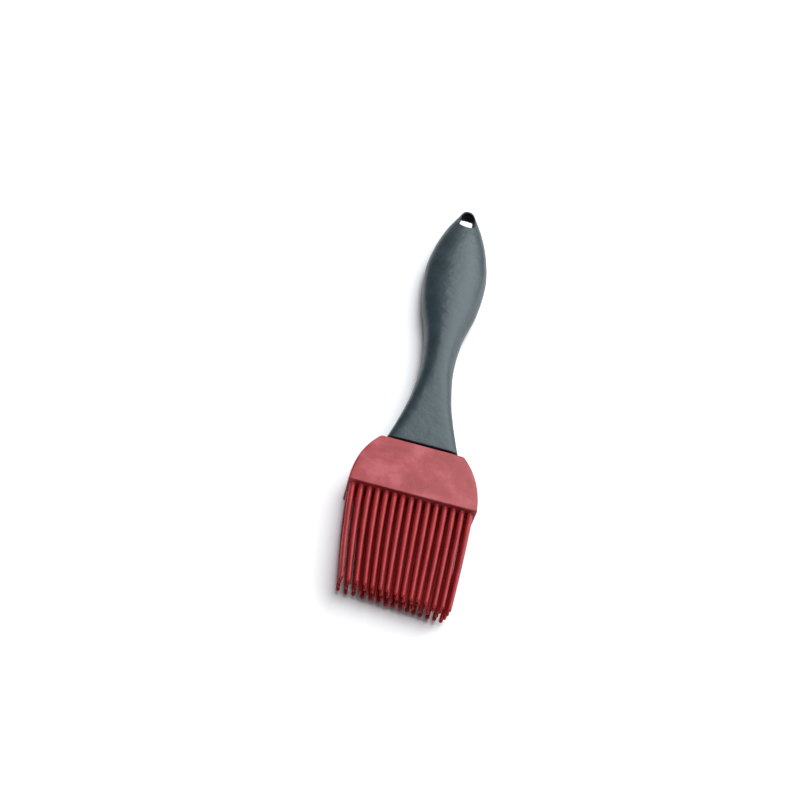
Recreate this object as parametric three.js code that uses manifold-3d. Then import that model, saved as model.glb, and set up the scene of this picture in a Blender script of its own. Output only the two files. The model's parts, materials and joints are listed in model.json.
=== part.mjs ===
// A silicone pastry brush lying flat: a grey grip moulded round a stiff core, and a red silicone
// head that pushes onto the core's tongue and carries fifteen columns of four bristles.
// Millimetres, +Z up. X is across the brush, +Y runs from the bristle tips to the handle's tip.
import * as THREE from 'three';
import { mergeVertices } from 'three/addons/utils/BufferGeometryUtils.js';
import Module from 'manifold-3d';

const wasm = await Module();
wasm.setup();

// ---- driving dimensions ----
const totalLength = 229.6;
const bristleLength = 41;
const thickness = 12.6; // of the head, and of the handle at its thickest

const head = {
  length: 23.6,
  faceHalf: 23, // half width at the bristles
  topHalf: 16.8, // half width where the shoulders end
  shoulderPulls: { start: 0.383, widthAtEnd: 0.919, end: 0.693 }, // of the length, face and length
  cornerSize: 1.2,
  edge: 0.4, // chamfer round the two flat sides
};

const bristles = {
  columns: 15,
  rows: 4,
  rootPitch: 3,
  tipPitch: 2.6,
  rowPitch: 2.5,
  rootRadius: 1,
  tipRadius: 0.7,
  bluntRadius: 0.4, // of the tip's chamfered end
  bluntLength: 0.15,
  sides: 8,
  webWidth: 1.4, // the strip that joins a column's four roots
  webFront: 1.4,
  webBack: 0.2,
};

const pocket = { height: 11, depth: 2.6 }; // in the head's face, room for the roots to rock

const core = {
  thickness: 3.6,
  tongueStart: 8.8,
  tongueHalf: 10,
  tongueCorner: 2.5,
  shoulder: 28, // where the tongue starts to narrow
  bladeHalf: 4.2,
  bladeStart: 44,
  end: 150,
};

const clearance = 0.3; // between the core and what it sits in
const gripStart = 24.5; // leaves an open line behind the head

// Half widths of the grip, at distances from the head's bristle face.
const gripHalfWidths = [
  [gripStart, 13.75], [31, 12.2], [40, 10.25], [52, 8.2], [72, 6.8], [92, 8.2],
  [112, 12.2], [134, 14.1], [152, 12.6], [170, 8.7], [185.8, 3.4],
];
const gripHalfThicknesses = [
  [gripStart, 6], [48, 5.6], [76, 5.5], [112, 6.2], [134, 6.3], [156, 6.1], [172, 5], [185.8, 3],
];
const noseRadius = 3.8; // the rounded tip, tangent to the taper before it
const squareness = { atHead: 7, alongGrip: 2.3, settles: 56 }; // superellipse powers, and a length
const ring = { points: 40, step: 3, noseSteps: 6, lastTurn: 1.47 }; // mm and radians

const hole = { near: 170, far: 185.8, nearRadius: 3.6, farRadius: 3 };

// ---- colours ----
const finishes = {
  grip: { color: 0x5f6b70, roughness: 0.62 },
  core: { color: 0x2f3436, roughness: 0.5 },
  head: { color: 0xb4585b, roughness: 0.6 },
  bristle: { color: 0xa33d41, roughness: 0.55 },
};

// ---- helpers ----
// A closed geometry as a solid that can be cut and joined.
function solidOf(geometry) {
  const bare = geometry.clone();
  bare.deleteAttribute('normal');
  bare.deleteAttribute('uv');
  const merged = mergeVertices(bare);
  const corners = [];
  for (let i = 0; i < merged.index.count; i += 3) {
    const [a, b, c] = [0, 1, 2].map((k) => merged.index.getX(i + k));
    if (a !== b && b !== c && c !== a) corners.push(a, b, c);
  }
  return new wasm.Manifold(new wasm.Mesh({
    numProp: 3,
    vertProperties: merged.attributes.position.array,
    triVerts: new Uint32Array(corners),
  }));
}

function geometryOf(solid) {
  const mesh = solid.getMesh();
  const geometry = new THREE.BufferGeometry();
  geometry.setAttribute('position', new THREE.BufferAttribute(mesh.vertProperties, 3));
  geometry.setIndex(new THREE.BufferAttribute(mesh.triVerts, 1));
  geometry.computeVertexNormals();
  return geometry;
}

function namedMesh(name, geometry, finish) {
  const mesh = new THREE.Mesh(geometry, new THREE.MeshStandardMaterial({ metalness: 0, ...finish }));
  mesh.name = name;
  return mesh;
}

// A smooth curve through [distance, value] pairs, read at one distance.
function valueAt(pairs, distance) {
  const last = pairs.length - 2;
  const i = Math.min(Math.max(pairs.findIndex(([d]) => d > distance) - 1, 0), last);
  const slope = (k) => {
    const [a, b] = [pairs[Math.max(k - 1, 0)], pairs[Math.min(k + 1, pairs.length - 1)]];
    return (b[1] - a[1]) / (b[0] - a[0]);
  };
  const index = distance >= pairs[last + 1][0] ? last : i;
  const [[d0, v0], [d1, v1]] = [pairs[index], pairs[index + 1]];
  const span = d1 - d0;
  const t = (distance - d0) / span;
  const [t2, t3] = [t * t, t * t * t];
  return v0 * (2 * t3 - 3 * t2 + 1) + slope(index) * span * (t3 - 2 * t2 + t)
    + v1 * (3 * t2 - 2 * t3) + slope(index + 1) * span * (t3 - t2);
}

// Joins closed rings of equal count into one skin, with a flat fan over each end.
function skinOver(rings) {
  const count = rings[0].length;
  const middle = (points) => points.reduce((sum, p) => sum.add(p), new THREE.Vector3())
    .divideScalar(count);
  const points = [...rings.flat(), middle(rings[0]), middle(rings.at(-1))];
  const [firstMiddle, lastMiddle] = [points.length - 2, points.length - 1];
  const index = [];
  for (let j = 0; j < count; j += 1) {
    const k = (j + 1) % count;
    index.push(firstMiddle, k, j);
    for (let r = 0; r < rings.length - 1; r += 1) {
      const [a, b, c, d] = [r * count + j, r * count + k, (r + 1) * count + j, (r + 1) * count + k];
      index.push(a, b, d, a, d, c);
    }
    const base = (rings.length - 1) * count;
    index.push(lastMiddle, base + j, base + k);
  }
  const geometry = new THREE.BufferGeometry().setFromPoints(points);
  geometry.setIndex(index);
  return geometry;
}

// ---- grip ----
// Half width and half thickness of the grip at a distance from the head's face.
function gripSize(distance) {
  const noseStart = gripHalfWidths.at(-1)[0];
  if (distance <= noseStart) {
    return [valueAt(gripHalfWidths, distance), valueAt(gripHalfThicknesses, distance)];
  }
  const noseCentre = totalLength - bristleLength - noseRadius;
  const arc = (d) => Math.sqrt(noseRadius ** 2 - Math.min(d - noseCentre, noseRadius) ** 2);
  const shrink = arc(distance) / arc(noseStart);
  return [gripHalfWidths.at(-1)[1] * shrink, gripHalfThicknesses.at(-1)[1] * shrink];
}

function gripRing(distance) {
  const [halfWidth, halfThick] = gripSize(distance);
  const unsettled = Math.max(1 - (distance - gripStart) / squareness.settles, 0);
  const power = 2 / THREE.MathUtils.lerp(squareness.alongGrip, squareness.atHead, unsettled ** 2);
  const rounded = (value) => Math.sign(value) * Math.abs(value) ** power;
  return Array.from({ length: ring.points }, (_, j) => {
    const angle = (-2 * Math.PI * (j + 0.5)) / ring.points;
    return new THREE.Vector3(
      halfWidth * rounded(Math.cos(angle)), distance, halfThick * rounded(Math.sin(angle)),
    );
  });
}

function gripDistances() {
  const noseStart = gripHalfWidths.at(-1)[0];
  const tip = totalLength - bristleLength;
  const steps = Math.round((noseStart - gripStart) / ring.step);
  const step = (noseStart - gripStart) / steps;
  const along = Array.from({ length: steps + 1 }, (_, i) => gripStart + step * i);
  const nose = Array.from({ length: ring.noseSteps }, (_, i) => {
    const turn = ring.lastTurn * ((i + 1) / ring.noseSteps);
    return noseStart + (tip - noseStart) * Math.sin(turn);
  });
  return [...along, ...nose];
}

// A long round-ended eye through the tip, narrower towards the end, to hang the brush by.
function hangingHole() {
  const shape = new THREE.Shape();
  const { near, far, nearRadius, farRadius } = hole;
  shape.absarc(0, near + nearRadius, nearRadius, Math.PI, 2 * Math.PI);
  shape.absarc(0, far - farRadius, farRadius, 0, Math.PI);
  const geometry = new THREE.ExtrudeGeometry(shape, {
    depth: 2 * thickness, bevelEnabled: false, curveSegments: 8,
  });
  return geometry.translate(0, 0, -thickness);
}

function makeGrip() {
  const skin = solidOf(skinOver(gripDistances().map(gripRing)));
  return geometryOf(skin.subtract(solidOf(coreBlade(clearance))).subtract(solidOf(hangingHole())));
}

// ---- core ----
// The flat blade inside the handle and the wide tongue that the head pushes onto.
// gap makes the room that the blade needs in the pieces round it.
function coreBlade(gap) {
  const { tongueStart, tongueHalf, tongueCorner, shoulder, bladeHalf, bladeStart, end } = core;
  const [wide, narrow, low, high] = [tongueHalf + gap, bladeHalf + gap, tongueStart - gap, end + gap];
  const bend = (shoulder + bladeStart) / 2;
  const shape = new THREE.Shape();
  shape.moveTo(-wide + tongueCorner, low);
  shape.lineTo(wide - tongueCorner, low);
  shape.quadraticCurveTo(wide, low, wide, low + tongueCorner);
  shape.lineTo(wide, shoulder);
  shape.bezierCurveTo(wide, bend, narrow, bend, narrow, bladeStart);
  shape.lineTo(narrow, high - narrow);
  shape.absarc(0, high - narrow, narrow, 0, Math.PI);
  shape.lineTo(-narrow, bladeStart);
  shape.bezierCurveTo(-narrow, bend, -wide, bend, -wide, shoulder);
  shape.lineTo(-wide, low + tongueCorner);
  shape.quadraticCurveTo(-wide, low, -wide + tongueCorner, low);
  const depth = core.thickness + 2 * gap;
  const geometry = new THREE.ExtrudeGeometry(shape, { depth, bevelEnabled: false, curveSegments: 6 });
  return geometry.translate(0, 0, -depth / 2);
}

// ---- head ----
function headOutline() {
  const { length, faceHalf, topHalf, shoulderPulls, cornerSize, edge } = head;
  const [half, top, low, high] = [faceHalf - edge, topHalf - edge, edge, length - edge];
  const [pullX, pullLow, pullHigh] = [shoulderPulls.widthAtEnd * half, shoulderPulls.start * length,
    shoulderPulls.end * length];
  const cornerX = top - cornerSize / 2;
  const cornerEnd = cornerX - cornerSize;
  const shape = new THREE.Shape();
  shape.moveTo(-half, low);
  shape.lineTo(half, low);
  shape.bezierCurveTo(half, pullLow, pullX, pullHigh, top, high - cornerSize);
  shape.quadraticCurveTo(cornerX, high, cornerEnd, high);
  shape.lineTo(-cornerEnd, high);
  shape.quadraticCurveTo(-cornerX, high, -top, high - cornerSize);
  shape.bezierCurveTo(-pullX, pullHigh, -half, pullLow, -half, low);
  return shape;
}

function makeHead() {
  const { edge, faceHalf } = head;
  const block = new THREE.ExtrudeGeometry(headOutline(), {
    depth: thickness - 2 * edge,
    bevelThickness: edge,
    bevelSize: edge,
    bevelSegments: 1,
    curveSegments: 12,
  }).translate(0, 0, edge - thickness / 2);
  const trough = new THREE.BoxGeometry(2 * faceHalf + 2, 2 * pocket.depth, pocket.height);
  return geometryOf(
    solidOf(block).subtract(solidOf(trough)).subtract(solidOf(coreBlade(clearance))),
  );
}

// ---- bristles ----
// One round bristle, tapering to a blunt tip, pointing along -Y from the head's face.
function bristleAt(height) {
  const { rootRadius, tipRadius, bluntRadius, bluntLength, webBack, sides } = bristles;
  const profile = [
    [0, -webBack], [rootRadius, -webBack], [tipRadius, bristleLength - tipRadius],
    [bluntRadius, bristleLength - bluntLength], [0, bristleLength],
  ].map(([x, y]) => new THREE.Vector2(x, y));
  return new THREE.LatheGeometry(profile, sides).rotateX(Math.PI).translate(0, 0, height);
}

// Four bristles above each other, joined at their roots by a thin upright web.
function makeColumn() {
  const { rows, rowPitch, rootRadius, webWidth, webFront, webBack } = bristles;
  const webHeight = (rows - 1) * rowPitch + rootRadius;
  const web = new THREE.BoxGeometry(webWidth, webFront + webBack, webHeight)
    .translate(0, (webBack - webFront) / 2, 0);
  let column = solidOf(web);
  for (let row = 0; row < rows; row += 1) {
    column = column.add(solidOf(bristleAt((row - (rows - 1) / 2) * rowPitch)));
  }
  return geometryOf(column);
}

// ---- assembly: its own origin is the middle of the head's bristle face ----
const brush = new THREE.Group();
brush.position.set(0, bristleLength - totalLength / 2, thickness / 2);
brush.add(namedMesh('handle_grip', makeGrip(), finishes.grip));
brush.add(namedMesh('handle_core', geometryOf(solidOf(coreBlade(0))), finishes.core));
brush.add(namedMesh('brush_head', makeHead(), finishes.head));

const columnGeometry = makeColumn();
const lean = (bristles.rootPitch - bristles.tipPitch) / bristleLength;
for (let i = 0; i < bristles.columns; i += 1) {
  const place = i - (bristles.columns - 1) / 2;
  const name = `bristle_column_${String(i + 1).padStart(2, '0')}`;
  const column = namedMesh(name, columnGeometry, finishes.bristle);
  column.position.x = place * bristles.rootPitch;
  column.rotation.z = -Math.atan(place * lean);
  brush.add(column);
}

const group = new THREE.Group();
group.add(brush);
export default group;
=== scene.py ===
import json
import math
import random

import bmesh
import bpy
from mathutils import Matrix, Vector


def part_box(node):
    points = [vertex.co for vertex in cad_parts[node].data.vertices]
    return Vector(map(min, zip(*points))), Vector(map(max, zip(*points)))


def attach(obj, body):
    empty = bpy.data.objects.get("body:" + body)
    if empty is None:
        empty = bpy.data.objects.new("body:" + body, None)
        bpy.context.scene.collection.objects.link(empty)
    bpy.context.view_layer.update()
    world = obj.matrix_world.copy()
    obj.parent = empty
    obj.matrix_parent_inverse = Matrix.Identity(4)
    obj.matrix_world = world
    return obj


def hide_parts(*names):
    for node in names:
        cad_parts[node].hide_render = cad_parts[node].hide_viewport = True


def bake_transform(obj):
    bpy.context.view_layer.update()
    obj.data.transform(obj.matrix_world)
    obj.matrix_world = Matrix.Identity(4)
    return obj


# A silicone pastry brush lying flat on a pale table. +Z is up, and +Y runs from the bristle tips to
# the handle's tip. The brush's lengths and the camera's place are in millimetres and pass through MM
# on their way into the scene, and distances along the brush start at the head's bristle face. The
# table, the lights and the materials are in metres.
MM = 0.001

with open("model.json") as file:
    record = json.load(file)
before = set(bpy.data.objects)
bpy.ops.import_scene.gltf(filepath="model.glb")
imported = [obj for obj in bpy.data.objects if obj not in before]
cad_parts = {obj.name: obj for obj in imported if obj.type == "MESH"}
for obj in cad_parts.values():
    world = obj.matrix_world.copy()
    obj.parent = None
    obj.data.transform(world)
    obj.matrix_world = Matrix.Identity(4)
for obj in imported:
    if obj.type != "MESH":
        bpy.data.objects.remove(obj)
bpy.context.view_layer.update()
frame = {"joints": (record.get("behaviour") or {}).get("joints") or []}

# ---- where the CAD frame puts things, in millimetres ----
HEAD_LOW, HEAD_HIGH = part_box("brush_head")
GRIP_LOW, GRIP_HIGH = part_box("handle_grip")
FACE_Y = HEAD_LOW.y / MM  # the head's bristle face
MIDDLE_Z = (HEAD_LOW.z + HEAD_HIGH.z) / 2 / MM
HALF_THICKNESS = (HEAD_HIGH.z - HEAD_LOW.z) / 2 / MM
HEAD_LENGTH = (HEAD_HIGH.y - HEAD_LOW.y) / MM
HEAD_HALF_WIDTH = HEAD_HIGH.x / MM
GRIP_START = GRIP_LOW.y / MM - FACE_Y
GRIP_TIP = GRIP_HIGH.y / MM - FACE_Y
HINGES = {j["child"]: Vector(j["pos_m"]) / MM for j in frame["joints"] if j["type"] == "hinge"}
COLUMN_NAMES = sorted(HINGES)
MIDDLE_COLUMN = COLUMN_NAMES[len(COLUMN_NAMES) // 2]
BRISTLE_LENGTH = FACE_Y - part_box(MIDDLE_COLUMN)[0].y / MM

# ---- grip ----
GRIP_HALF_WIDTHS = [
    (GRIP_START, 13.75), (31, 12.2), (40, 10.25), (52, 8.2), (72, 6.8), (92, 8.2),
    (112, 12.2), (134, 14.1), (152, 12.6), (170, 8.7), (185.8, 3.4),
]
GRIP_HALF_THICKNESSES = [
    (GRIP_START, 6), (48, 5.6), (76, 5.5), (112, 6.2), (134, 6.3), (156, 6.1), (172, 5), (185.8, 3),
]
NOSE_RADIUS, NOSE_STEPS = 3.8, 7
NOSE_LAST_TURN = math.radians(87)
SQUARE_AT_HEAD, SQUARE_ALONG = 7, 2.3  # superellipse powers of the grip's section
SQUARE_SETTLES = 56  # how far along the section takes to become an oval
GRIP_POINTS = 64  # round each ring
GRIP_STEP = 1.8
END_ROUNDING, END_STEPS = 0.45, 5
END_GAP = 0.35  # how much farther from the head the moulding starts than its nominal end
CORE_SLOT_DEPTH, CORE_SLOT_SQUARE = 2.5, 14
EYE_NEAR, EYE_FAR = 170, 185.8
EYE_NEAR_RADIUS, EYE_FAR_RADIUS = 3.6, 3
EYE_LIP, EYE_LIP_STEPS = 0.6, 4  # radius of the eye's rounded rim, and its rings
EYE_PATCH = (167.5, 187.2)  # the stretch of the grip whose top is laid out round the eye
EYE_PATCH_STEPS = 14
EYE_PATCH_SIDE = 10  # points from the middle line to the patch's side
EYE_PATCH_SHARES = (0.3, 0.6, 0.85, 1)  # rings from the patch's border in to the lip
EYE_WALL_SHARES = (0.33, 0.67)  # rings down the eye's wall
EYE_CORNER_TURN = math.radians(55)  # from the eye's middle line to the patch's corners

# ---- core ----
TONGUE_START, TONGUE_HALF = 8.8, 10
TONGUE_CORNER, TONGUE_CORNER_STEPS = 2.5, 6
TONGUE_BLUNT = 0.05  # the first ring is as wide as the tongue is this far along
CORE_HALF_THICK = 1.8
CORE_ROUNDING, CORE_EDGE_STEPS = 0.6, 4
SHOULDER, BLADE_START, BLADE_HALF, CORE_END = 28, 44, 4.2, 150
CORE_RINGS = (12, 15, 18, 21, 24, SHOULDER, 31, 34, 37, 40, BLADE_START, 70, 110)
SOCKET_GAP = 0.2  # between the core and what it sits in

# ---- head ----
HEAD_TOP_HALF = 16.8
HEAD_CORNER = (1.5, 2.2)  # along the brush and across it
HEAD_CORNER_SLANT = 0.4  # how far the corner's curve falls before it turns, as a share of its run
SHOULDER_STEPS, HEAD_CORNER_STEPS = 40, 30
HEAD_ROUNDING, HEAD_EDGE_STEPS = 0.45, 5  # front and back edges
HEAD_SIDE_ROUNDING = 0.9
HEAD_PULLS = (0.383, 0.919, 0.693)  # shares that place the shoulders' curve: near end, width, far end
HEAD_STEPS = 26
SOCKET_DEPTH, SOCKET_LIP, SOCKET_LIP_STEPS = 15, 0.3, 3

# ---- bristles ----
ROWS, ROW_PITCH = 4, 2.5
ROOT_RADIUS, TIP_RADIUS = 1.02, 0.66
ROOT_FLARE, FLARE_LENGTH, FLARE_STEPS = 0.22, 0.7, 4
ROOT_BURIED = 0.5
BRISTLE_SIDES = 16
BRISTLE_STEPS = 24
BRISTLE_TIP_TURN, BRISTLE_TIP_STEPS = math.radians(80), 4
MIDDLE_SHORTENED = 0.9  # the middle bristles stop this far short of the CAD's
LONGER_RIGHTWARD = 0.13  # each column is this much longer than the one on its left
LENGTH_SPREAD, LEAN_SPREAD, RISE_SPREAD = 0.4, 0.2, 0.25  # chance differences between bristles
TIP_PITCH = 2.54
TIP_DRIFT = 0.9  # the whole block leans a little to the right
ROW_DRIFT = 0.05  # how much less each column right of the middle leans, for each row down
ROW_OFFSETS = (0.38, -0.38, 0.38, 0)  # the lower rows stand a little to one side and close the gaps
ROW_LEANS = (0.6, -0.75, 0.85, 0)  # how far the middle tips stray sideways, from the lowest row up
SWING_POWER = 1.4  # a bristle strays more and more towards its tip

# ---- camera ----
CAMERA_PLACE = Vector((-22.16, -286.26, 261.25))
CAMERA_YAW, CAMERA_PITCH, CAMERA_ROLL = math.radians(2.29), math.radians(44.16), math.radians(16.62)
CAMERA_LENS, CAMERA_SENSOR = 42.66, 36


# ---- meshes ----
LEAST_CORNER = 0.02  # keeps the points round a section's corner apart


def value_at(pairs, distance):
    """A smooth curve through (distance, value) pairs, read at one distance."""
    last = len(pairs) - 1
    i = min(max(sum(d <= distance for d, _ in pairs) - 1, 0), last - 1)

    def slope(k):
        (d0, v0), (d1, v1) = pairs[max(k - 1, 0)], pairs[min(k + 1, last)]
        return (v1 - v0) / (d1 - d0)

    (d0, v0), (d1, v1) = pairs[i], pairs[i + 1]
    span = d1 - d0
    t = (distance - d0) / span
    return (v0 * (2 * t**3 - 3 * t**2 + 1) + slope(i) * span * (t**3 - 2 * t**2 + t)
            + v1 * (3 * t**2 - 2 * t**3) + slope(i + 1) * span * (t**3 - t**2))


def spread(start, end, steps):
    """Evenly spaced values from start to end, both included."""
    return [start + (end - start) * i / steps for i in range(steps + 1)]


def signed_power(value, power):
    return math.copysign(abs(value) ** power, value)


def superellipse(half_width, half_height, square, count):
    """Points (x, z) round a section, from +X over the top."""
    power = 2 / square
    angles = [2 * math.pi * j / count for j in range(count)]
    return [(half_width * signed_power(math.cos(a), power), half_height * signed_power(math.sin(a), power))
            for a in angles]


def rounded_rectangle(half_width, half_height, corner, across, up, turn):
    """Points (x, z) round a section, from the right side's foot over the top.

    The flat stretches have across steps along the top and up steps at the sides, and a corner has turn.
    """
    corner = min(corner, half_width, half_height)
    inner_x, inner_z = half_width - corner, half_height - corner
    points = []
    for quarter, steps in enumerate((up, across, up, across)):
        upright = quarter % 2 == 0
        side = inner_z if upright else inner_x
        reach = half_width if upright else half_height
        facing = quarter * math.pi / 2
        out = Vector((math.cos(facing), math.sin(facing)))
        along = Vector((-math.sin(facing), math.cos(facing)))
        points += [out * reach + along * s for s in spread(-side, side, steps)[:-1]]
        ahead = out + along
        centre = Vector((math.copysign(inner_x, ahead.x), math.copysign(inner_z, ahead.y)))
        for angle in spread(facing, facing + math.pi / 2, turn)[:-1]:
            points.append(centre + corner * Vector((math.cos(angle), math.sin(angle))))
    return [(p.x, p.y) for p in points]


def mixed(first, second, share):
    """A section part of the way between two others."""
    return [(a[0] + (b[0] - a[0]) * share, a[1] + (b[1] - a[1]) * share) for a, b in zip(first, second)]


def quarter_turns(steps):
    """(1 - sine, 1 - cosine) of angles from a quarter turn down to none: the walk round an edge."""
    return [(1 - math.sin(a), 1 - math.cos(a)) for a in spread(math.pi / 2, 0, steps)]


class Shell:
    """A closed mesh built ring by ring, from points in millimetres."""

    def __init__(self):
        self.mesh = bmesh.new()

    def point(self, x, distance, z):
        return self.mesh.verts.new((x * MM, (distance + FACE_Y) * MM, (z + MIDDLE_Z) * MM))

    def ring(self, section, distance):
        return [self.point(x, distance, z) for x, z in section]

    def face(self, *corners, finish=0):
        self.mesh.faces.new(corners).material_index = finish

    def join(self, first, second, skip=(), finish=0):
        """A band between two rings of equal count, in the piece's material number finish."""
        count = len(first)
        for j in range(count):
            k = (j + 1) % count
            if j not in skip:
                self.face(first[j], first[k], second[k], second[j], finish=finish)

    def cap(self, ring):
        """A fan over a ring's open end."""
        centre = self.mesh.verts.new(sum((v.co for v in ring), Vector()) / len(ring))
        for j in range(len(ring)):
            self.face(ring[j - 1], ring[j], centre)

    def skin(self, sections, start=None):
        """Joins (section, distance) pairs in a row, on from a ring or else from a cap of its own.

        Returns the last ring.
        """
        previous = start
        for section, distance in sections:
            current = self.ring(section, distance)
            if previous is None:
                self.cap(current)
            else:
                self.join(previous, current)
            previous = current
        return previous

    def finish(self, name, *materials):
        bmesh.ops.recalc_face_normals(self.mesh, faces=self.mesh.faces)
        data = bpy.data.meshes.new(name)
        self.mesh.to_mesh(data)
        self.mesh.free()
        data.shade_smooth()
        for material in materials:
            data.materials.append(material)
        piece = bpy.data.objects.new(name, data)
        bpy.context.scene.collection.objects.link(piece)
        return piece


# ---- materials ----
SWELL_SCALE, SWELL_DEPTH = 2.5, 6  # the swells against the clouds' scale and the grain's depth
GLOW_RADIUS, GLOW_DEPTH = (1.0, 0.2, 0.15), 0.0015  # red light goes deepest into silicone


def new_material(name):
    material = bpy.data.materials.new(name)
    material.use_nodes = True
    tree = material.node_tree
    return material, tree, tree.nodes["Principled BSDF"]


def add_node(tree, kind, inputs=()):
    """A node whose inputs are linked to sockets or set to plain values."""
    node = tree.nodes.new(kind)
    for key, value in dict(inputs).items():
        if isinstance(value, bpy.types.NodeSocket):
            tree.links.new(value, node.inputs[key])
        else:
            node.inputs[key].default_value = value
    return node


def noise(tree, where, scale, detail=3.0, roughness=0.55):
    node = add_node(tree, "ShaderNodeTexNoise",
                    {"Vector": where, "Scale": scale, "Detail": detail, "Roughness": roughness})
    return node.outputs["Fac"]


def ramp(tree, factor, stops):
    """A colour ramp through (position, colour) stops."""
    node = add_node(tree, "ShaderNodeValToRGB", {"Fac": factor})
    elements = node.color_ramp.elements
    while len(elements) < len(stops):
        elements.new(0.5)
    for element, (position, colour) in zip(elements, stops):
        element.position = position
        element.color = (*colour, 1)
    return node.outputs["Color"]


def ranged(tree, value, low, high):
    node = add_node(tree, "ShaderNodeMapRange", {"Value": value, "To Min": low, "To Max": high})
    return node.outputs["Result"]


def bumps(tree, layers):
    """Bump nodes in a row, each (height, depth in metres)."""
    normal = None
    for height, depth in layers:
        inputs = {"Height": height, "Distance": depth, "Strength": 1.0}
        if normal is not None:
            inputs["Normal"] = normal
        normal = add_node(tree, "ShaderNodeBump", inputs).outputs["Normal"]
    return normal


def object_coordinates(tree):
    return add_node(tree, "ShaderNodeTexCoord").outputs["Object"]


def moulded_material(name, stops, roughness, specular, patch_scale, grain_scale, grain_depth, glow=0.0):
    """A matte moulding: cloudy colour and roughness, low swells, a fine grain, and a glow within."""
    material, tree, shader = new_material(name)
    where = object_coordinates(tree)
    clouds = noise(tree, where, patch_scale, detail=4.0, roughness=0.6)
    grain = noise(tree, where, grain_scale, detail=2.0)
    swells = noise(tree, where, patch_scale * SWELL_SCALE, detail=2.0)
    surface = bumps(tree, [(swells, grain_depth * SWELL_DEPTH), (grain, grain_depth)])
    tree.links.new(ramp(tree, clouds, stops), shader.inputs["Base Color"])
    tree.links.new(ranged(tree, clouds, *roughness), shader.inputs["Roughness"])
    tree.links.new(surface, shader.inputs["Normal"])
    shader.inputs["Specular IOR Level"].default_value = specular
    shader.inputs["Subsurface Weight"].default_value = glow
    shader.inputs["Subsurface Radius"].default_value = GLOW_RADIUS
    shader.inputs["Subsurface Scale"].default_value = GLOW_DEPTH
    return material


def grip_material():
    slate = [(0.3, (0.007, 0.017, 0.021)), (0.52, (0.011, 0.024, 0.029)), (0.72, (0.016, 0.03, 0.036))]
    return moulded_material("grip_elastomer", slate, roughness=(0.31, 0.42), specular=0.35,
                            patch_scale=90, grain_scale=700, grain_depth=0.000034)


# Painted shade: the eye's inner wall gets a near-black, dull material that stands in for the deep shadow
# inside the hole.
def painted_shade_eye_wall_material():
    painted_shade_black = [(0.35, (0.003, 0.004, 0.005)), (0.65, (0.006, 0.008, 0.009))]
    return moulded_material("eye_wall_painted_shade", painted_shade_black, roughness=(0.6, 0.75), specular=0.1,
                            patch_scale=120, grain_scale=2500, grain_depth=0.00001)


def core_material():
    charcoal = [(0.35, (0.016, 0.018, 0.02)), (0.65, (0.028, 0.031, 0.034))]
    return moulded_material("core_nylon", charcoal, roughness=(0.35, 0.5), specular=0.5,
                            patch_scale=120, grain_scale=2500, grain_depth=0.00001)


def head_material():
    dusty_red = [(0.34, (0.235, 0.015, 0.018)), (0.5, (0.285, 0.027, 0.032)), (0.66, (0.345, 0.06, 0.07))]
    return moulded_material("head_silicone", dusty_red, roughness=(0.42, 0.56), specular=0.35,
                            patch_scale=125, grain_scale=1500, grain_depth=0.000016)


def bristle_material():
    deep_red = [(0.3, (0.24, 0.011, 0.013)), (0.55, (0.285, 0.015, 0.017)), (0.75, (0.32, 0.02, 0.023))]
    return moulded_material("bristle_silicone", deep_red, roughness=(0.27, 0.36), specular=0.22,
                            patch_scale=160, grain_scale=2600, grain_depth=0.000008, glow=0.3)


# ---- grip ----
def grip_size(distance):
    """Half width and half thickness of the grip at a distance along it."""
    nose_start, nose_half = GRIP_HALF_WIDTHS[-1]
    if distance <= nose_start:
        return value_at(GRIP_HALF_WIDTHS, distance), value_at(GRIP_HALF_THICKNESSES, distance)
    centre = GRIP_TIP - NOSE_RADIUS

    def arc(d):
        return math.sqrt(max(NOSE_RADIUS**2 - (d - centre) ** 2, 0))

    shrink = arc(distance) / arc(nose_start)
    return nose_half * shrink, GRIP_HALF_THICKNESSES[-1][1] * shrink


def grip_square(distance):
    """The section's superellipse power: nearly a rectangle at the head, an oval farther on."""
    unsettled = max(1 - (distance - GRIP_START) / SQUARE_SETTLES, 0)
    return SQUARE_ALONG + (SQUARE_AT_HEAD - SQUARE_ALONG) * unsettled**2


def grip_section(distance, inset=0):
    half_width, half_thick = grip_size(distance)
    return superellipse(half_width - inset, half_thick - inset, grip_square(distance), GRIP_POINTS)


def grip_top(x, distance):
    """Height of the grip's top above its middle."""
    half_width, half_thick = grip_size(distance)
    square = grip_square(distance)
    return half_thick * max(1 - (abs(x) / half_width) ** square, 0) ** (1 / square)


def grip_distances():
    """Where the grip's rings stand: along the body, beside the eye and round the nose."""
    body_start = GRIP_START + END_GAP + END_ROUNDING
    patch_start, patch_end = EYE_PATCH
    body = spread(body_start, patch_start, round((patch_start - body_start) / GRIP_STEP))[1:-1]
    patch = spread(patch_start, patch_end, EYE_PATCH_STEPS)
    centre = GRIP_TIP - NOSE_RADIUS
    first_turn = math.asin((patch_end - centre) / NOSE_RADIUS)
    nose = [centre + NOSE_RADIUS * math.sin(a) for a in spread(first_turn, NOSE_LAST_TURN, NOSE_STEPS)[1:]]
    return body, patch, nose


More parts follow.
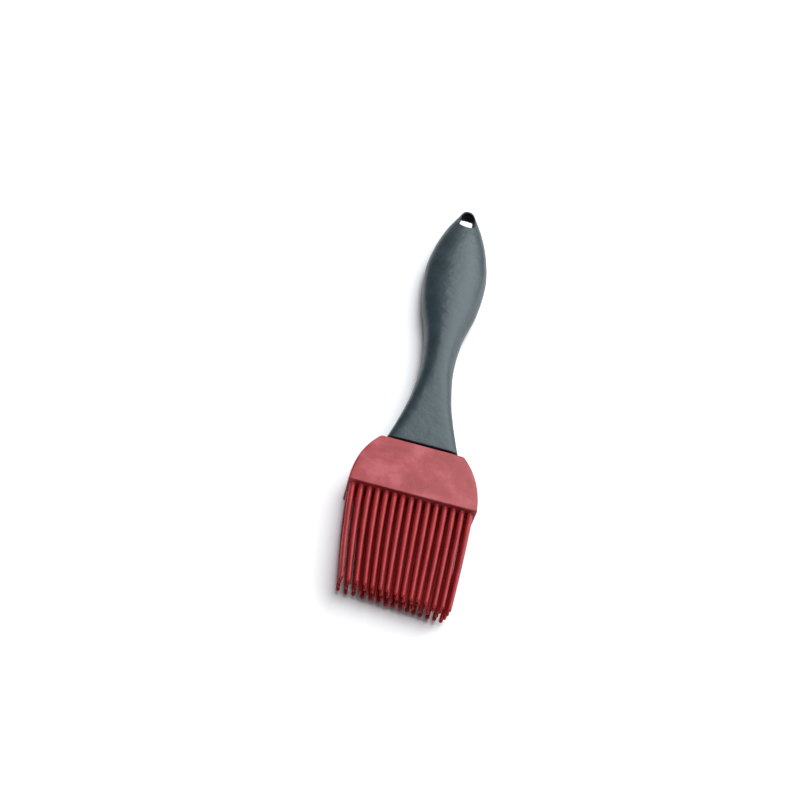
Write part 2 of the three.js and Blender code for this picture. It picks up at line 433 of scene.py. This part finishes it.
def make_grip(material, eye_shade_material):
    """From the core's slot round the end, along the body to the nose, then the eye through it, whose wall
    takes the second material: near-black painted shade.
    """
    shell = Shell()
    start = GRIP_START + END_GAP
    slot = superellipse(TONGUE_HALF + SOCKET_GAP, CORE_HALF_THICK + SOCKET_GAP, CORE_SLOT_SQUARE,
                        GRIP_POINTS)
    face = grip_section(start, END_ROUNDING)
    sections = [(slot, start + CORE_SLOT_DEPTH), (slot, start)]
    sections += [(mixed(slot, face, share), start) for share in (0.5, 1)]
    for run, drop in quarter_turns(END_STEPS)[1:]:
        distance = start + END_ROUNDING * run
        sections.append((grip_section(distance, END_ROUNDING * drop), distance))
    body, patch, nose = grip_distances()
    sections += [(grip_section(distance), distance) for distance in body]

    body_end = shell.skin(sections)
    rings = [shell.ring(grip_section(distance), distance) for distance in patch]
    shell.join(body_end, rings[0])
    top_middle, bottom_middle = GRIP_POINTS // 4, 3 * GRIP_POINTS // 4
    open_columns = [column for middle in (top_middle, bottom_middle)
                    for column in range(middle - EYE_PATCH_SIDE, middle + EYE_PATCH_SIDE)]
    for first, second in zip(rings, rings[1:]):
        shell.join(first, second, skip=open_columns)
    shell.cap(shell.skin([(grip_section(distance), distance) for distance in nose], rings[-1]))

    upper = eye_side(shell, rings, top_middle, 1)
    lower = eye_side(shell, rings, bottom_middle, -1)
    previous = upper
    # finish 1 is the eye wall's near-black painted shade material
    for share in EYE_WALL_SHARES:
        current = [shell.mesh.verts.new(a.co.lerp(b.co, share)) for a, b in zip(upper, lower)]
        shell.join(previous, current, finish=1)
        previous = current
    shell.join(previous, lower, finish=1)
    return shell.finish("handle_grip_moulding", material, eye_shade_material)


def eye_outline(outset):
    """Points (x, distance) round the eye, matched to the border of the patch round it."""
    near_middle, far_middle = EYE_NEAR + EYE_NEAR_RADIUS, EYE_FAR - EYE_FAR_RADIUS
    near, far = EYE_NEAR_RADIUS + outset, EYE_FAR_RADIUS + outset
    turn = EYE_CORNER_TURN

    def arc(radius, middle, start, end, steps):
        return [Vector((radius * math.sin(a), middle - radius * math.cos(a)))
                for a in spread(start, end, steps)]

    near_arc = arc(near, near_middle, turn, -turn, 2 * EYE_PATCH_SIDE)
    far_arc = arc(far, far_middle, math.pi + turn, math.pi - turn, 2 * EYE_PATCH_SIDE)
    fine_steps = 24
    side = (arc(near, near_middle, turn, math.pi / 2, fine_steps)
            + arc(far, far_middle, math.pi / 2, math.pi - turn, fine_steps))
    right = evenly_along(side, EYE_PATCH_STEPS)
    left = [Vector((-p.x, p.y)) for p in right]
    return near_arc[:-1] + left[:-1] + far_arc[:-1] + right[::-1][:-1]


def evenly_along(line, steps):
    """Points spaced evenly along a line of close points."""
    lengths = [0.0]
    for a, b in zip(line, line[1:]):
        lengths.append(lengths[-1] + (b - a).length)
    points = []
    for wanted in spread(0, lengths[-1], steps):
        i = min(max(sum(length <= wanted for length in lengths) - 1, 0), len(line) - 2)
        part = (wanted - lengths[i]) / max(lengths[i + 1] - lengths[i], 1e-9)
        points.append(line[i].lerp(line[i + 1], part))
    return points


def patch_border(rings, middle, way):
    """The loop of a block of grip points centred on one column, in the same order as eye_outline.

    The bottom's loop (way -1) is walked so that it lies under the top's (way 1).
    """
    near, far = middle - way * EYE_PATCH_SIDE, middle + way * EYE_PATCH_SIDE
    start = rings[0][near:far:way]
    left = [ring[far] for ring in rings[:-1]]
    end = rings[-1][far:near:-way]
    right = [ring[near] for ring in rings[:0:-1]]
    return start + left + end + right


def eye_side(shell, rings, middle, way):
    """The patch from its border in to the eye's rounded lip, on the top (way 1) or the bottom (way -1)."""
    border = patch_border(rings, middle, way)
    start = [Vector((v.co.x / MM, v.co.y / MM - FACE_Y)) for v in border]
    lip = eye_outline(EYE_LIP)
    previous = border
    for share in EYE_PATCH_SHARES:
        flat = [a.lerp(b, share) for a, b in zip(start, lip)]
        current = [shell.point(p.x, p.y, way * grip_top(p.x, p.y)) for p in flat]
        shell.join(previous, current)
        previous = current
    heights = [grip_top(p.x, p.y) for p in lip]
    for angle in spread(0, math.pi / 2, EYE_LIP_STEPS)[1:]:
        outline = eye_outline(EYE_LIP * (1 - math.sin(angle)))
        drop = EYE_LIP * (1 - math.cos(angle))
        current = [shell.point(p.x, p.y, way * (h - drop)) for p, h in zip(outline, heights)]
        shell.join(previous, current)
        previous = current
    return previous


# ---- core ----
def core_half_width(distance):
    """Half width of the core: the tongue's rounded corners, the tongue, the shoulders, the blade."""
    corner_end = TONGUE_START + TONGUE_CORNER
    if distance < corner_end:
        run = corner_end - distance
        return TONGUE_HALF - TONGUE_CORNER + math.sqrt(max(TONGUE_CORNER**2 - run**2, 0))
    if distance <= SHOULDER:
        return TONGUE_HALF
    if distance < BLADE_START:
        t = (distance - SHOULDER) / (BLADE_START - SHOULDER)
        return TONGUE_HALF + (BLADE_HALF - TONGUE_HALF) * t * t * (3 - 2 * t)
    return BLADE_HALF


def make_core(material):
    """The flat tongue and blade, with every edge rounded."""
    rounding = CORE_ROUNDING
    corner = spread(TONGUE_START + rounding, TONGUE_START + TONGUE_CORNER, TONGUE_CORNER_STEPS)[1:]
    edge = [(rounding * run, rounding * drop) for run, drop in quarter_turns(CORE_EDGE_STEPS)]
    stations = [(TONGUE_START + run, drop) for run, drop in edge]
    stations += [(distance, 0) for distance in (*corner, *CORE_RINGS)]
    stations += [(CORE_END - run, drop) for run, drop in edge[::-1]]
    sections = []
    for distance, inset in stations:
        half_width = core_half_width(max(distance, TONGUE_START + TONGUE_BLUNT)) - inset
        section = rounded_rectangle(half_width, CORE_HALF_THICK - inset, rounding - inset + LEAST_CORNER,
                                    across=12, up=3, turn=4)
        sections.append((section, distance))
    shell = Shell()
    shell.cap(shell.skin(sections))
    return shell.finish("handle_core_moulding", material)


# ---- head ----
def head_plan():
    """Half widths of the head along its length: (distance, half width) pairs, close together."""
    near_pull, width_pull, far_pull = HEAD_PULLS
    run, across = HEAD_CORNER
    a = Vector((0, HEAD_HALF_WIDTH))
    b = Vector((near_pull * HEAD_LENGTH, HEAD_HALF_WIDTH))
    c = Vector((far_pull * HEAD_LENGTH, width_pull * HEAD_HALF_WIDTH))
    d = Vector((HEAD_LENGTH - run, HEAD_TOP_HALF))
    shoulder = [a * (1 - t) ** 3 + 3 * b * t * (1 - t) ** 2 + 3 * c * t * t * (1 - t) + d * t**3
                for t in spread(0, 1, SHOULDER_STEPS)]
    e = Vector((HEAD_LENGTH, HEAD_TOP_HALF - run * HEAD_CORNER_SLANT))
    f = Vector((HEAD_LENGTH, HEAD_TOP_HALF - across))
    corner = [d * (1 - t) ** 2 + 2 * e * t * (1 - t) + f * t * t
              for t in spread(0, 1, HEAD_CORNER_STEPS)[1:]]
    return [(p.x, p.y) for p in shoulder + corner]


def read_plan(plan, distance):
    """The half width at one distance."""
    for (d0, v0), (d1, v1) in zip(plan, plan[1:]):
        if distance <= d1:
            return v0 + (v1 - v0) * (distance - d0) / max(d1 - d0, 1e-9)
    return plan[-1][1]


def head_section(half_width, half_height, corner):
    corner = max(corner, LEAST_CORNER)
    return rounded_rectangle(half_width, half_height, corner, across=28, up=8, turn=5)


def make_head(material):
    """From the middle of the bristle face over the sides to the back, then in to the core's socket."""
    plan = head_plan()
    rounding = HEAD_ROUNDING
    face_width, face_height = read_plan(plan, 0) - rounding, HALF_THICKNESS - rounding
    face_corner = HEAD_SIDE_ROUNDING - rounding
    sections = [(head_section(face_width * share, face_height * share, face_corner * share), 0)
                for share in (0.25, 0.5, 0.75)]

    edge = [(rounding * run, rounding * drop) for run, drop in quarter_turns(HEAD_EDGE_STEPS)]
    stations = edge + [(distance, 0) for distance in spread(rounding, HEAD_LENGTH - rounding, HEAD_STEPS)[1:]]
    stations += [(HEAD_LENGTH - run, drop) for run, drop in edge[::-1][1:]]
    for distance, inset in stations:
        side_inset = inset if distance <= rounding else 0
        half_width = read_plan(plan, distance) - side_inset
        section = head_section(half_width, HALF_THICKNESS - inset, HEAD_SIDE_ROUNDING - inset)
        sections.append((section, distance))

    lip = SOCKET_LIP
    socket_width, socket_height = TONGUE_HALF + SOCKET_GAP, CORE_HALF_THICK + SOCKET_GAP
    back_width, back_height = read_plan(plan, HEAD_LENGTH), HALF_THICKNESS - rounding
    for share in (0.5, 1):
        half_width = back_width + (socket_width + lip - back_width) * share
        half_height = back_height + (socket_height + lip - back_height) * share
        sections.append((head_section(half_width, half_height, lip * share), HEAD_LENGTH))
    for run, drop in quarter_turns(SOCKET_LIP_STEPS)[::-1][1:]:
        section = head_section(socket_width + lip * run, socket_height + lip * run, lip)
        sections.append((section, HEAD_LENGTH - lip * drop))
    sections.append((head_section(socket_width, socket_height, lip), HEAD_LENGTH - SOCKET_DEPTH))

    shell = Shell()
    shell.cap(shell.skin(sections))
    return shell.finish("brush_head_moulding", material)


# ---- bristles ----
def bristle_rings(length):
    """(distance along the bristle, radius) from inside the head to the rounded tip."""
    rings = [(-ROOT_BURIED, ROOT_RADIUS + ROOT_FLARE)]
    for angle in spread(0, math.pi / 2, FLARE_STEPS):
        flare = ROOT_FLARE * (1 - math.sin(angle))
        rings.append((FLARE_LENGTH * (1 - math.cos(angle)), ROOT_RADIUS + flare))
    straight = length - TIP_RADIUS
    for distance in spread(FLARE_LENGTH, straight, BRISTLE_STEPS)[1:]:
        share = (distance - FLARE_LENGTH) / (straight - FLARE_LENGTH)
        rings.append((distance, ROOT_RADIUS + (TIP_RADIUS - ROOT_RADIUS) * share))
    for angle in spread(0, BRISTLE_TIP_TURN, BRISTLE_TIP_STEPS)[1:]:
        rings.append((straight + TIP_RADIUS * math.sin(angle), TIP_RADIUS * math.cos(angle)))
    return rings


def add_bristle(shell, root_x, height, tip_shift, length):
    """One round bristle from the face, its tip shifted sideways and up by tip_shift, as (x, z)."""
    angles = [2 * math.pi * j / BRISTLE_SIDES for j in range(BRISTLE_SIDES)]
    sections = []
    for distance, radius in bristle_rings(length):
        swing = (max(distance, 0) / length) ** SWING_POWER
        x, z = root_x + tip_shift[0] * swing, height + tip_shift[1] * swing
        sections.append(([(x + radius * math.cos(a), z + radius * math.sin(a)) for a in angles], -distance))
    shell.cap(shell.skin(sections))


def make_column(index, name, material, chance):
    """Four bristles over one another. The top one lies in line; the lower ones stray, most mid-brush."""
    shell = Shell()
    root_x = HINGES[name].x
    half = (len(COLUMN_NAMES) - 1) / 2
    place = index - half
    middle = 1 - (place / half) ** 2
    column_length = BRISTLE_LENGTH - MIDDLE_SHORTENED + LONGER_RIGHTWARD * place
    for row in range(ROWS):
        height = (row - (ROWS - 1) / 2) * ROW_PITCH
        row_x = root_x + ROW_OFFSETS[row]
        drift = -ROW_DRIFT * (ROWS - 1 - row) * max(place, 0)
        stray = drift + ROW_LEANS[row] * middle + chance.uniform(-LEAN_SPREAD, LEAN_SPREAD)
        lean = place * TIP_PITCH + TIP_DRIFT - row_x + stray
        length = column_length + chance.uniform(-LENGTH_SPREAD, 0)
        rise = chance.uniform(-RISE_SPREAD, RISE_SPREAD)
        add_bristle(shell, row_x, height, (lean, rise), length)
    return shell.finish(name + "_silicone", material)


# ---- stage ----
TABLE_HALF = 3.0


def make_table():
    material, tree, shader = new_material("table_white")
    clouds = noise(tree, object_coordinates(tree), 6)
    tint = ramp(tree, clouds, [(0.3, (0.86, 0.86, 0.87)), (0.7, (0.88, 0.88, 0.885))])
    tree.links.new(tint, shader.inputs["Base Color"])
    shader.inputs["Roughness"].default_value = 0.7
    half = TABLE_HALF
    corners = [(-half, -half, 0), (half, -half, 0), (half, half, 0), (-half, half, 0)]
    data = bpy.data.meshes.new("table")
    data.from_pydata(corners, [], [(0, 1, 2, 3)])
    data.materials.append(material)
    table = bpy.data.objects.new("table", data)
    bpy.context.scene.collection.objects.link(table)


def add_area_light(name, place, target, size, power, colour):
    data = bpy.data.lights.new(name, "AREA")
    data.shape = "RECTANGLE"
    data.size, data.size_y = size
    data.energy = power
    data.color = colour
    light = bpy.data.objects.new(name, data)
    light.location = place
    light.rotation_euler = (Vector(target) - Vector(place)).to_track_quat("-Z", "Y").to_euler()
    bpy.context.scene.collection.objects.link(light)


def make_lights():
    """A cool box behind lights the grip's sheen, an overhead one the table, with a key and a low rim."""
    add_area_light("back", (0.5, 0.8, 0.75), (0, 0, 0), (1.2, 0.7), 13.5, (0.87, 0.97, 1.0))
    add_area_light("key", (0.75, 0.1, 1.0), (0, 0, 0), (0.9, 0.9), 4.5, (1.0, 0.995, 0.985))
    add_area_light("overhead", (0.04, 0.1, 1.3), (0, 0, 0), (0.5, 1.2), 12.5, (0.98, 0.985, 1.0))
    add_area_light("rim", (0.75, 0.65, 0.16), (0, 0.05, 0), (0.5, 0.25), 1.2, (0.95, 0.98, 1.0))
    world = bpy.data.worlds.new("studio")
    world.use_nodes = True
    background = world.node_tree.nodes["Background"]
    background.inputs["Color"].default_value = (0.93, 0.95, 1.0, 1)
    background.inputs["Strength"].default_value = 0.28
    bpy.context.scene.world = world
    bpy.context.scene.view_settings.view_transform = "Standard"


def make_camera():
    """Looks down at the brush from the bristle end, turned so that the handle leans to the right."""
    yaw, pitch, roll = CAMERA_YAW, CAMERA_PITCH, CAMERA_ROLL
    forward = Vector((math.sin(yaw) * math.cos(pitch), math.cos(yaw) * math.cos(pitch), -math.sin(pitch)))
    level = Vector((math.cos(yaw), -math.sin(yaw), 0))
    upright = level.cross(forward)
    right = level * math.cos(roll) + upright * math.sin(roll)
    up = upright * math.cos(roll) - level * math.sin(roll)
    turned = Matrix((right, up, -forward)).transposed().to_4x4()
    data = bpy.data.cameras.new("camera")
    data.lens = CAMERA_LENS
    data.sensor_width = CAMERA_SENSOR
    camera = bpy.data.objects.new("camera", data)
    camera.matrix_world = Matrix.Translation(CAMERA_PLACE * MM) @ turned
    bpy.context.scene.collection.objects.link(camera)
    bpy.context.scene.camera = camera


# ---- the scene ----
make_camera()
make_lights()
make_table()

# the second material paints the eye's wall near-black as shade
grip = make_grip(grip_material(), painted_shade_eye_wall_material())
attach(grip, "handle")
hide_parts("handle_grip")

core = make_core(core_material())
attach(core, "handle")
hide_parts("handle_core")

head = make_head(head_material())
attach(head, "head")
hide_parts("brush_head")

silicone = bristle_material()
chance = random.Random(7)
for index, name in enumerate(COLUMN_NAMES):
    column = make_column(index, name, silicone, chance)
    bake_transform(column)
    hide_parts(name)
